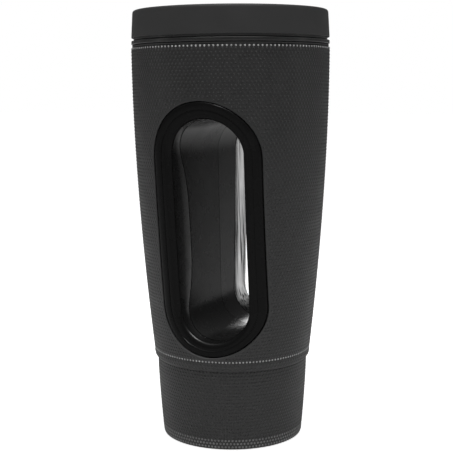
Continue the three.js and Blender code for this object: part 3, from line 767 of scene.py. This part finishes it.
# ---------------------------------------------------------------- vessel: base and shell
def dot_band(name, material, around, high_z, low_z, top_radius, top_z, run, drop, power, slot=None,
             dot_radius=DOT_RADIUS):
    """Rows of dots down from one level to another, on a wall that tapers from its top radius."""
    rows = int((high_z - low_z) / DOT_ROW_PITCH) + 1
    no_slot = ((0, 2 * CAD_HIGH[2], 0), (0, 3 * CAD_HIGH[2], 0))
    slot_sizes = {
        f"Slot_{end}_{size}": float(value)
        for end, values in zip(("Low", "High"), slot or no_slot)
        for size, value in zip(("Centre", "Level", "Radius"), values)
    }
    dots = shaped(
        added(name, bpy.data.meshes.new(name)),
        DOT_FIELD,
        material,
        Dots_Around=around,
        Rows=rows,
        Lowest_Row=high_z - (rows - 1) * DOT_ROW_PITCH,
        Row_Pitch=DOT_ROW_PITCH,
        Top_Radius=top_radius - DOT_HEIGHT,
        Top_Level=top_z,
        Taper_Length=run,
        Taper_Drop=drop,
        Taper_Power=float(power),
        Dot_Radius=dot_radius,
        Dot_Height=DOT_HEIGHT,
        **slot_sizes,
    )
    soften(dots.data, 180)
    return finished(dots, VESSEL, "shell_satin", material)


def build_base():
    foot_z = BASE_LOW
    seam_high = SEAM_Z + SEAT_GAP - 0.06 * MM
    lip = level_radius("foot_pad", 0) + SEAT_GAP
    taper_levels = steps(foot_z + 1.4 * MM, SHOULDER_Z - 0.2 * MM, 22)
    shoulder_levels = steps(SHOULDER_Z + 0.2 * MM, SEAM_Z - 0.4 * MM, 10)
    outer = [(base_radius(z) - DOT_HEIGHT, z, 0) for z in taper_levels]
    outer += [(shoulder_radius(z) - DOT_HEIGHT, z, 0) for z in shoulder_levels]
    spigot_high = span("base_shell", 2)[1]
    spigot = level_radius("base_shell", spigot_high)
    inner = spigot - SPIGOT_WALL
    floor_z = foot_z + 1.1 * MM
    corners = [
        (lip, foot_z, 0.2 * MM),
        (base_radius(foot_z) - DOT_HEIGHT, foot_z, 1.2 * MM),
        *outer,
        (SHELL_FOOT_RADIUS - DOT_HEIGHT, seam_high, 0.25 * MM),
        (spigot, seam_high, 0),
        (spigot, spigot_high, 0.3 * MM),
        (inner, spigot_high, 0.3 * MM),
        (inner, SEAM_Z - BASE_WALL, 0),
        (base_radius(foot_z + BASE_WALL) - BASE_WALL, floor_z, 0),
        (lip, floor_z, 0.2 * MM),
    ]
    item = added("base_skin", turned("base_skin", filleted(corners)))
    prism = [flat_loop(TRIM.grown(BEZEL_FLANGE + SEAT_GAP), y) for y in (-CLEAR_OF_ALL, CLEAR_OF_ALL)]
    carve(item, plug_of("notch", prism))
    soften(item.data)
    finished(item, VESSEL, "shell_satin", SHELL_SATIN, "base_shell")
    shoulder = (SHELL_FOOT_RADIUS, SEAM_Z, SHOULDER_HEIGHT, SHOULDER_INSET, SHOULDER_POWER)
    dot_band("shoulder_dots", SHELL_SATIN, DOTS_AROUND_BASE, SEAM_Z - 1.2 * MM, SHOULDER_Z, *shoulder)
    taper = (BASE_TOP_RADIUS, SHOULDER_Z, SHOULDER_Z, BASE_DRAFT, BASE_TAPER_POWER)
    low_row = foot_z + 1.3 * MM
    lighter_rows_high = low_row + 2 * DOT_ROW_PITCH
    first_plain = lighter_rows_high + DOT_ROW_PITCH / 2
    dot_band("base_dots", SHELL_SATIN, DOTS_AROUND_BASE, SHOULDER_Z - 0.8 * MM, first_plain, *taper)
    # The lowest three rows of dots are lighter
    dot_band("foot_dots", LIGHTER_FOOT_SATIN, DOTS_AROUND_BASE, lighter_rows_high, low_row - 0.1 * MM, *taper)


def build_shell():
    def face(z):
        return shell_radius(z) - DOT_HEIGHT

    outside = [(face(z), z, 0) for z in steps(SHELL_LOW + 0.5 * MM, SHELL_HIGH - 0.7 * MM, 60)]
    inside = [(shell_radius(z) - SHELL_WALL, z, 0) for z in steps(SHELL_HIGH, SHELL_LOW + 6 * MM, 24)]
    corners = [
        (face(SHELL_LOW), SHELL_LOW, 0.25 * MM),
        *outside,
        (face(SHELL_HIGH), SHELL_HIGH, 0.35 * MM),
        *inside,
        (SHELL_FOOT_RADIUS - SHELL_WALL, SHELL_LOW, 0.2 * MM),
    ]
    item = added("shell_skin", turned("shell_skin", filleted(corners)))
    opening = TRIM.grown(SEAT_GAP)
    inner_end = -10 * MM
    front = [
        flat_loop(opening.grown(SLOT_CHAMFER), -CLEAR_OF_ALL),
        under_face(opening.grown(SLOT_CHAMFER), DOT_HEIGHT),
        under_face(opening, SLOT_CHAMFER + DOT_HEIGHT),
        flat_loop(opening, inner_end),
    ]
    back = [mirrored_y(loop) for loop in front]
    carve(item, plug_of("front_opening", front), plug_of("back_opening", back))
    soften(item.data, 25)
    finished(item, VESSEL, "shell_satin", SHELL_SATIN, "outer_shell")
    taper = (SHELL_TOP_RADIUS, SHELL_HIGH, SHELL_HIGH - SHELL_LOW, SHELL_TOP_RADIUS - SHELL_FOOT_RADIUS)
    border = SLOT_CHAMFER + DOT_RADIUS + 0.4 * MM
    slot = tuple((x, z, radius + border) for x, z, radius in (TRIM.low, TRIM.high))
    top_row, low_row = SHELL_HIGH - 0.6 * MM, SHELL_LOW + 0.4 * MM
    # The top and bottom rows of dots take the satin with the painted highlight
    for name, z in (("upper_edge_dots", top_row), ("lower_edge_dots", low_row)):
        dot_band(name, EDGE_HIGHLIGHT_SATIN, DOTS_AROUND_SHELL, z, z, *taper, SHELL_TAPER_POWER, slot, EDGE_DOT_RADIUS)
    high_z, low_z = top_row - 0.85 * DOT_ROW_PITCH, low_row + 0.7 * DOT_ROW_PITCH
    dot_band("shell_dots", SHELL_SATIN, DOTS_AROUND_SHELL, high_z, low_z, *taper, SHELL_TAPER_POWER, slot)


# ---------------------------------------------------------------- vessel: slot
def bezel_loops(end_depth):
    """Outer lip, a fine step half way in, then a soft roll into the collar."""
    back_of_shell = SHELL_WALL + SEAT_GAP
    back_of_lip = back_of_shell + 1.4 * MM
    step_depth = 0.4 * MM
    lip = [
        (1.0, BEZEL_RECESS + 1.0 * MM),
        (0.995, BEZEL_RECESS + 0.45 * MM),
        (0.975, BEZEL_RECESS + 0.12 * MM),
        (0.94, BEZEL_RECESS),
        (0.8, BEZEL_RECESS - 0.08 * MM),
        (0.66, BEZEL_RECESS),
        (0.57, BEZEL_RECESS + 0.12 * MM),
        (0.55, BEZEL_RECESS + 0.2 * MM),
        (0.54, BEZEL_RECESS + step_depth),
        (BEZEL_ROLL_START, BEZEL_RECESS + step_depth + 0.02 * MM),
    ]
    roll = []
    for angle in steps(0, math.pi / 2, 16)[1:]:
        across = BEZEL_ROLL_START * (1 - math.sin(angle))
        down = BEZEL_RECESS + step_depth + (BEZEL_ROLL_DEPTH - step_depth) * (1 - math.cos(angle))
        roll.append((across, down))
    collar, flange = CLEAR.grown(COLLAR_WALL), TRIM.grown(BEZEL_FLANGE)
    back_edge = collar_depth(end_depth)
    return [
        *(under_face(CLEAR.towards(TRIM, across), down) for across, down in lip + roll),
        along_slot(CLEAR, lambda z: mix(BEZEL_ROLL_DEPTH, back_edge(z), 0.5)),
        along_slot(CLEAR, collar_depth(end_depth, -0.5 * MM)),
        along_slot(CLEAR.grown(0.15 * MM), collar_depth(end_depth, -0.12 * MM)),
        along_slot(CLEAR.grown(0.5 * MM), back_edge),
        along_slot(collar, back_edge),
        under_face(collar, back_of_lip),
        under_face(flange, back_of_lip),
        under_face(flange, back_of_shell),
        under_face(TRIM, back_of_shell),
    ]


def sleeve_loops(end_depth, end_y, lap_length, lap):
    """One half of the tunnel, flaring slightly from the seam to the collar, with a lap at the seam."""
    start = collar_depth(end_depth, SEAT_GAP)
    wall = CLEAR.grown(SLEEVE_WALL)
    inner = []
    for t in steps(0, 1, 10):
        outline = CLEAR.grown(-math.tan(SLEEVE_DRAFT) * SLEEVE_RUN * t)
        ends = zip(along_slot(outline, start), flat_loop(outline, end_y))
        inner.append([mouth.lerp(seam, t) for mouth, seam in ends])
    wall_y = end_y + lap_length
    neck_loops = [flat_loop(CLEAR.grown(lap), y) for y in (end_y, wall_y)]
    return [*inner, *neck_loops, flat_loop(wall, wall_y), along_slot(wall, start)]


def build_slot():
    half_gap = SEAT_GAP / 2
    rear_end = -SLEEVE_SEAM_Y - SEAT_GAP
    front_edge, rear_edge = bezel_loops(FRONT_COLLAR_END_DEPTH), bezel_loops(COLLAR_DEPTH)
    front = sleeve_loops(FRONT_COLLAR_END_DEPTH, SLEEVE_SEAM_Y, SLEEVE_LAP, SLEEVE_WALL / 2 + half_gap)
    rear = sleeve_loops(COLLAR_DEPTH, rear_end, -SLEEVE_LAP, SLEEVE_WALL / 2 - half_gap)
    for name, node, loops, sharp_degrees, slot, material in (
        ("front_grip_edge", "front_bezel", front_edge, 50, "soft_rubber", GRIP_RUBBER),
        ("rear_grip_edge", "rear_bezel", rear_edge, 50, "soft_rubber", FAR_GRIP_RUBBER),
        ("front_tunnel", "front_sleeve", front, 40, "gloss_black", SLEEVE_GLOSS),
        ("rear_tunnel", "rear_sleeve", rear, 40, "gloss_black", SLEEVE_GLOSS),
    ):
        placed = [mirrored_y(loop) for loop in loops] if name.startswith("rear") else loops
        item = added(name, soften(ring_of(name, placed), sharp_degrees))
        finished(item, VESSEL, slot, material, node)


# ---------------------------------------------------------------- vessel: liner and rim
def turned_piece(name, node, body, slot, material, corners):
    """A turned piece with rounded edges in the place of a CAD piece."""
    item = added(name, soften(turned(name, filleted(corners))))
    return finished(item, body, slot, material, node)


def band_corners(node, inner, fillet):
    low_z, high_z = span(node, 2)
    outer = span(node, 0)[1]
    return [(r, z, fillet) for r, z in ((inner, low_z), (outer, low_z), (outer, high_z), (inner, high_z))]


def build_rim():
    inner = level_radius("lid_gasket", span("lid_gasket", 2)[0]) + 2.5 * MM
    band, gasket = band_corners("rim_ring", inner, 0.45 * MM), band_corners("rim_seal", inner, 0.2 * MM)
    turned_piece("rim_band", "rim_ring", VESSEL, "gloss_black", BAND_GLOSS, band)
    turned_piece("rim_gasket", "rim_seal", VESSEL, "soft_rubber", RIM_RUBBER, gasket)


def build_liner():
    low_z, high_z = span("liner", 2)
    flange_z = high_z - LINER_FLANGE_THICKNESS
    flange = span("liner", 0)[1]
    foot = level_radius("liner", low_z)
    neck_z = span("base_shell", 2)[1]
    neck = level_radius("liner", neck_z)
    past_top = high_z + 5 * MM

    def side(inset, first_z):
        levels = steps(neck_z + LINER_NECK_RUN, flange_z, 24)
        body = [(shell_radius(z) - SHELL_WALL - AIR_GAP - inset, z, 0) for z in levels]
        return [(foot - inset, first_z, 2.5 * MM), (neck - inset, neck_z, 4 * MM), *body]

    outer = [
        (0, low_z, 0),
        *side(0, low_z),
        (flange, flange_z, 0.3 * MM),
        (flange, high_z, 0.4 * MM),
        (0, high_z, 0),
    ]
    bottom = low_z + LINER_WALL
    inside = side(LINER_WALL, bottom)
    inner = [(0, bottom, 0), *inside, (inside[-1][0], past_top, 0), (0, past_top, 0)]
    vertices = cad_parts["liner"].data.vertices
    wall_x = max(v.co.x for v in vertices if v.co.z < neck_z)
    roof_z = min(v.co.z for v in vertices if v.co.x > 0)

    def notch(inset):
        x, roof = wall_x - inset, roof_z + inset
        corner = LINER_NOTCH_CORNER + inset
        section = [
            (CLEAR_OF_ALL, -CLEAR_OF_ALL),
            (x, -CLEAR_OF_ALL),
            (x, roof - corner),
            *arc_points(x + corner, roof - corner, corner, steps(180, 90, 6)[1:]),
            (CLEAR_OF_ALL, roof),
        ]
        ends = (-CLEAR_OF_ALL, CLEAR_OF_ALL)
        return plug_of("notch", [[Vector((px, y, pz)) for px, pz in section] for y in ends])

    cavity = added("cavity", turned("cavity", filleted(inner)))
    carve(cavity, notch(LINER_WALL))
    item = added("liner_skin", turned("liner_skin", filleted(outer)))
    carve(item, notch(0), cavity.data.copy())
    bpy.data.objects.remove(cavity)
    soften(item.data, 30)
    finished(item, VESSEL, "liner_black", LINER_PLASTIC, "liner")


def build_foot():
    low_z, high_z = span("foot_pad", 2)
    outer = span("foot_pad", 0)[1]
    corners = [(0, low_z, 0)]
    groove = 0.35 * MM
    for centre in steps(8 * MM, 28 * MM, 5):
        corners += [
            (centre - 0.7 * MM, low_z, 0.15 * MM),
            (centre - 0.5 * MM, low_z + groove, 0.1 * MM),
            (centre + 0.5 * MM, low_z + groove, 0.1 * MM),
            (centre + 0.7 * MM, low_z, 0.15 * MM),
        ]
    corners += [(outer, low_z, 0.4 * MM), (outer, high_z, 0.2 * MM), (0, high_z, 0)]
    item = added("foot_ring", soften(turned("foot_ring", filleted(corners, 2), 128)))
    finished(item, VESSEL, "soft_rubber", FOOT_RUBBER, "foot_pad")
    for node, material in (
        ("base_plate", LID_MATTE),
        ("base_seal", SEAL_SILICONE),
        ("liner_cushion", FOOT_RUBBER),
    ):
        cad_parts[node].data.materials.clear()
        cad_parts[node].data.materials.append(material)


# ---------------------------------------------------------------- lid
DRINK_HOLE = (16 * MM, 8 * MM, 3.5 * MM)
VENT_RADIUS = 1.6 * MM
STEM_WIDTH = 5.6 * MM
SLIDER_TRAVEL = 13 * MM
KEEPER_MARGIN = 3.2 * MM
DISH_DEPTH = 5.4 * MM
DECK_THICKNESS = 2.4 * MM
TOOL_REACH = 6 * MM


def footprint(node, corner, margin=0.0):
    """A CAD piece's extent seen from above as a rounded rectangle, with a margin all round."""
    low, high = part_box(node)
    width, length = high.x - low.x + 2 * margin, high.y - low.y + 2 * margin
    return rounded_rectangle(width, length, corner, (low.y + high.y) / 2)


def keeper_stem_length():
    low_y, high_y = span("slider_keeper", 1)
    return high_y - low_y - 2 * KEEPER_MARGIN


def build_lid_cap():
    low_z, high_z = span("lid_cap", 2)
    foot = span("lid_cap", 0)[1]
    top = foot - 0.75 * MM
    deck = high_z - DISH_DEPTH
    under_deck = deck - DECK_THICKNESS
    skirt = foot - 2.2 * MM
    lip = span("liner", 0)[1] + SEAT_GAP
    seat_z = span("liner", 2)[1] + SEAT_GAP
    rim_inner = top - 4.0 * MM
    dish = rim_inner - 1.6 * MM
    groove_z = deck - 0.25 * MM
    corners = [
        (0, under_deck, 0),
        (skirt, under_deck, 0.4 * MM),
        (skirt, seat_z, 0.2 * MM),
        (lip, seat_z, 0.1 * MM),
        (lip, low_z, 0.15 * MM),
        (foot, low_z, 0.3 * MM),
        (top, high_z, 1.6 * MM),
        (rim_inner, high_z, 0.9 * MM),
        (dish, deck, 1.4 * MM),
        (dish - 2.4 * MM, deck, 0.2 * MM),
        (dish - 2.6 * MM, groove_z, 0.1 * MM),
        (dish - 3.2 * MM, groove_z, 0.1 * MM),
        (dish - 3.4 * MM, deck, 0.2 * MM),
        (0, deck, 0),
    ]
    item = added("lid_body", turned("lid_body", filleted(corners, 6)))
    hole_y, keeper_y = (sum(span(node, 1)) / 2 for node in ("slider_seal", "slider_keeper"))
    track_size = (STEM_WIDTH + 2 * SEAT_GAP, keeper_stem_length() + SLIDER_TRAVEL + 2 * SEAT_GAP, 0.5 * MM)
    tools = [
        slab(name, outline, under_deck - TOOL_REACH, deck + TOOL_REACH)
        for name, outline in (
            ("hole", rounded_rectangle(*DRINK_HOLE, hole_y)),
            ("track", rounded_rectangle(*track_size, keeper_y + SLIDER_TRAVEL / 2)),
            ("vent", rounded_rectangle(2 * VENT_RADIUS, 2 * VENT_RADIUS, VENT_RADIUS, -hole_y)),
        )
    ]
    carve(item, *tools, bevel=0.22 * MM)
    soften(item.data, 30)
    finished(item, LID, "lid_matte", LID_MATTE, "lid_cap")


def build_lid_plug():
    low_z, high_z = span("lid_plug", 2)
    flange = span("lid_plug", 0)[1]
    outer = level_radius("lid_plug", low_z)
    inner = outer - 3.2 * MM
    groove = outer - 1.1 * MM
    gasket_low, gasket_high = span("lid_gasket", 2)
    edge = 0.3 * MM
    flange_z = high_z - 1.6 * MM
    corners = [
        (inner, low_z, 0.8 * MM),
        (outer, low_z, 0.8 * MM),
        (outer, gasket_low - SEAT_GAP, edge),
        (groove, gasket_low - SEAT_GAP, edge / 2),
        (groove, gasket_high + SEAT_GAP, edge / 2),
        (outer, gasket_high + SEAT_GAP, edge),
        (outer, flange_z, 0.6 * MM),
        (flange, flange_z, edge),
        (flange, high_z, edge),
        (inner, high_z, edge),
    ]
    turned_piece("lid_insert", "lid_plug", LID, "liner_black", LINER_PLASTIC, corners)


def build_lid_gasket():
    low_z, high_z = span("lid_gasket", 2)
    outer = span("lid_gasket", 0)[1]
    inner = outer - 1.24 * MM
    waist = outer - 0.55 * MM
    middle = (low_z + high_z) / 2
    fin = 0.28 * MM
    corners = [
        (inner, low_z, 0.15 * MM),
        (waist, low_z, 0.1 * MM),
        (outer, low_z + 0.5 * MM, fin),
        (outer, low_z + 1.0 * MM, fin),
        (waist, middle, 0.3 * MM),
        (outer, high_z - 1.0 * MM, fin),
        (outer, high_z - 0.5 * MM, fin),
        (waist, high_z, 0.1 * MM),
        (inner, high_z, 0.15 * MM),
    ]
    turned_piece("lid_seal_ring", "lid_gasket", LID, "silicone_grey", SEAL_SILICONE, corners)


def ridge_tree():
    """A row of equal ridges along Y, from one ridge."""
    f = Field(
        "thumb_ridges",
        [("Geometry", "NodeSocketGeometry"), ("Ridges", "NodeSocketInt"), ("Pitch", "NodeSocketFloat"),
         ("Material", "NodeSocketMaterial")],
    )
    line = f.node("GeometryNodeMeshLine", mode="OFFSET")
    f.link(f.value("Ridges"), line, "Count")
    f.link(f.vector(0, f.value("Pitch"), 0), line, "Offset")
    placed = f.node("GeometryNodeInstanceOnPoints")
    f.link(line.outputs[0], placed, "Points")
    f.link(f.value("Geometry"), placed, "Instance")
    f.finish(placed.outputs[0])
    return f


def build_slider():
    low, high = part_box("drink_slider")
    deck_top = span("slider_seal", 2)[0]
    plate_top = deck_top + 2.4 * MM
    width = high.x - low.x
    plate = slab("slider_plate", footprint("drink_slider", 4.5 * MM), deck_top, plate_top, 0.55 * MM)
    item = added("slider_plate", plate)
    pocket_top = span("slider_seal", 2)[1] + SEAT_GAP
    carve(item, slab("pocket", footprint("slider_seal", 5.2 * MM, SEAT_GAP), deck_top - 3 * MM, pocket_top))
    ridge_y = high.y - 4.5 * MM - 1.8 * MM
    ridge = slab("ridge", rounded_rectangle(width - 9 * MM, 3.6 * MM, 1.5 * MM, ridge_y),
                 plate_top - 1.2 * MM, high.z, 0.7 * MM, 4)
    stem_y = sum(span("slider_keeper", 1)) / 2
    stem = slab("stem", rounded_rectangle(STEM_WIDTH, keeper_stem_length(), 0.4 * MM, stem_y),
                low.z, deck_top + 1.2 * MM, 0.3 * MM)
    combined(item, "UNION", ridge, stem)
    soften(item.data, 35)
    finished(item, SLIDER, "lid_matte", LID_MATTE, "drink_slider")

    first_y = ridge_y - 8.2 * MM
    rib_outline = rounded_rectangle(width - 11 * MM, 0.9 * MM, 0.4 * MM, first_y)
    rib = slab("rib", rib_outline, plate_top - 0.3 * MM, plate_top + 0.45 * MM, 0.25 * MM)
    ribs = shaped(added("slider_ribs", rib), ridge_tree(), LID_MATTE, Ridges=4, Pitch=1.7 * MM)
    soften(ribs.data, 40)
    finished(ribs, SLIDER, "lid_matte", LID_MATTE)


def build_slider_fittings():
    seal = slab("slider_pad", footprint("slider_seal", 4.9 * MM), *span("slider_seal", 2), 0.25 * MM)
    pad = added("slider_pad", soften(seal))
    finished(pad, SLIDER, "silicone_grey", SEAL_SILICONE, "slider_seal")
    low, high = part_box("slider_keeper")
    centre_y = (low.y + high.y) / 2
    clip = slab("keeper_clip", footprint("slider_keeper", 1.5 * MM), low.z, high.z, 0.25 * MM)
    keeper = added("keeper_clip", clip)
    hole_size = (STEM_WIDTH + 2 * SEAT_GAP, keeper_stem_length() + 2 * SEAT_GAP, 0.5 * MM)
    carve(keeper, slab("hole", rounded_rectangle(*hole_size, centre_y), low.z - 3 * MM, high.z + 3 * MM))
    soften(keeper.data)
    finished(keeper, SLIDER, "lid_matte", LID_MATTE, "slider_keeper")


# ---------------------------------------------------------------- stage
def build_floor():
    size = 6.0
    mesh = bpy.data.meshes.new("floor")
    corners = [(-size, -size, 0), (size, -size, 0), (size, size, 0), (-size, size, 0)]
    mesh.from_pydata(corners, [], [(0, 1, 2, 3)])
    floor = added("floor", mesh)
    material = bpy.data.materials.new("pale_floor")
    material.use_nodes = True
    surface = material.node_tree.nodes["Principled BSDF"]
    surface.inputs["Base Color"].default_value = (0.9, 0.9, 0.9, 1)
    surface.inputs["Roughness"].default_value = 0.9
    surface.inputs["Specular IOR Level"].default_value = 0.1
    surface.inputs["Emission Color"].default_value = (1, 1, 1, 1)
    tree = material.node_tree
    seen = add(tree, "ShaderNodeLightPath").outputs["Is Camera Ray"]
    tree.links.new(ramp(tree, seen, 0.0, 1.0, 0.08, 0.85), surface.inputs["Emission Strength"])
    mesh.materials.append(material)


def build_world():
    """Soft grey surroundings, brighter overhead, with plain white behind the object."""
    world = bpy.data.worlds.new("studio")
    bpy.context.scene.world = world
    world.use_nodes = True
    tree = world.node_tree
    tree.nodes.clear()
    sink = add(tree, "ShaderNodeOutputWorld")
    up = add(tree, "ShaderNodeSeparateXYZ")
    tree.links.new(add(tree, "ShaderNodeTexCoord").outputs["Generated"], up.inputs[0])
    lighting = []
    for strength in (ramp(tree, up.outputs["Z"], -0.2, 0.9, 0.06, 0.26), 1.0):
        background = add(tree, "ShaderNodeBackground")
        feed(tree, background.inputs["Color"], (1, 1, 1, 1))
        feed(tree, background.inputs["Strength"], strength)
        lighting.append(background.outputs[0])
    seen = add(tree, "ShaderNodeLightPath").outputs["Is Camera Ray"]
    chosen = add(tree, "ShaderNodeMixShader")
    for socket, source in zip(chosen.inputs, (seen, *lighting)):
        tree.links.new(source, socket)
    tree.links.new(chosen.outputs[0], sink.inputs["Surface"])


def softbox(name, azimuth, height, distance, size, power, aim_z):
    """An area light round the object, at an azimuth as the camera's, aimed at its axis."""
    turn = math.radians(azimuth)
    place = Vector((distance * math.sin(turn), -distance * math.cos(turn), height))
    light = bpy.data.lights.new(name, "AREA")
    light.shape = "RECTANGLE"
    light.size, light.size_y = size
    light.energy = power
    item = added(name, light)
    aim = Vector((0, 0, aim_z)) - place
    item.matrix_world = Matrix.Translation(place) @ aim.to_track_quat("-Z", "Y").to_matrix().to_4x4()
    return item


def build_lights():
    softbox("overhead", 25, 1.1, 0.25, (0.9, 0.7), 7.4, 0.15)
    for name, azimuth in (("left_strip", -62), ("right_strip", 112)):
        strip = softbox(name, azimuth, 0.25, 0.9, (0.18, 0.9), 0.2, 0.12)
        link_pieces(strip, "EXCLUDE", "front_grip_edge")
    far_strip = softbox("far_grip_strip", 155, 0.075, 0.3, (0.1, 0.22), 0.5, 0.11)
    back_panel = softbox("back_panel", 205, 0.27, 0.9, (0.4, 0.25), 1.8, 0.06)
    roll_light = softbox("roll_light", 40, 0.9, 0.45, (0.3, 0.3), 14, 0.06)
    link_pieces(far_strip, "INCLUDE", "rear_grip_edge")
    link_pieces(back_panel, "INCLUDE", "front_tunnel", "rear_tunnel")
    link_pieces(roll_light, "INCLUDE", "front_grip_edge")
    for light in (far_strip, back_panel, roll_light):
        light.visible_camera = False


def link_pieces(light, state, *names):
    """Limits a light to a few pieces, or keeps it off them."""
    linked = bpy.data.collections.new(light.name)
    light.light_linking.receiver_collection = linked
    for name in names:
        linked.objects.link(bpy.data.objects[name])
    for entry in linked.collection_objects:
        entry.light_linking.link_state = state


def build_camera():
    data = bpy.data.cameras.new("camera")
    data.sensor_width = 36
    data.lens = 84.35
    data.clip_start = 0.01
    camera = added("camera", data)
    place = Matrix.Translation((0.2228, -0.4838, 0.1752))
    azimuth = Matrix.Rotation(math.radians(25), 4, "Z")
    tilt = Matrix.Rotation(math.radians(90 - 7.46), 4, "X")
    roll = Matrix.Rotation(math.radians(-0.37), 4, "Z")
    camera.matrix_world = place @ azimuth @ tilt @ roll
    bpy.context.scene.camera = camera


build_base()
build_shell()
build_slot()
build_rim()
build_liner()
build_foot()
build_lid_cap()
build_lid_plug()
build_lid_gasket()
build_slider()
build_slider_fittings()
build_floor()
build_world()
build_lights()
build_camera()
bpy.context.scene.view_settings.view_transform = "Standard"
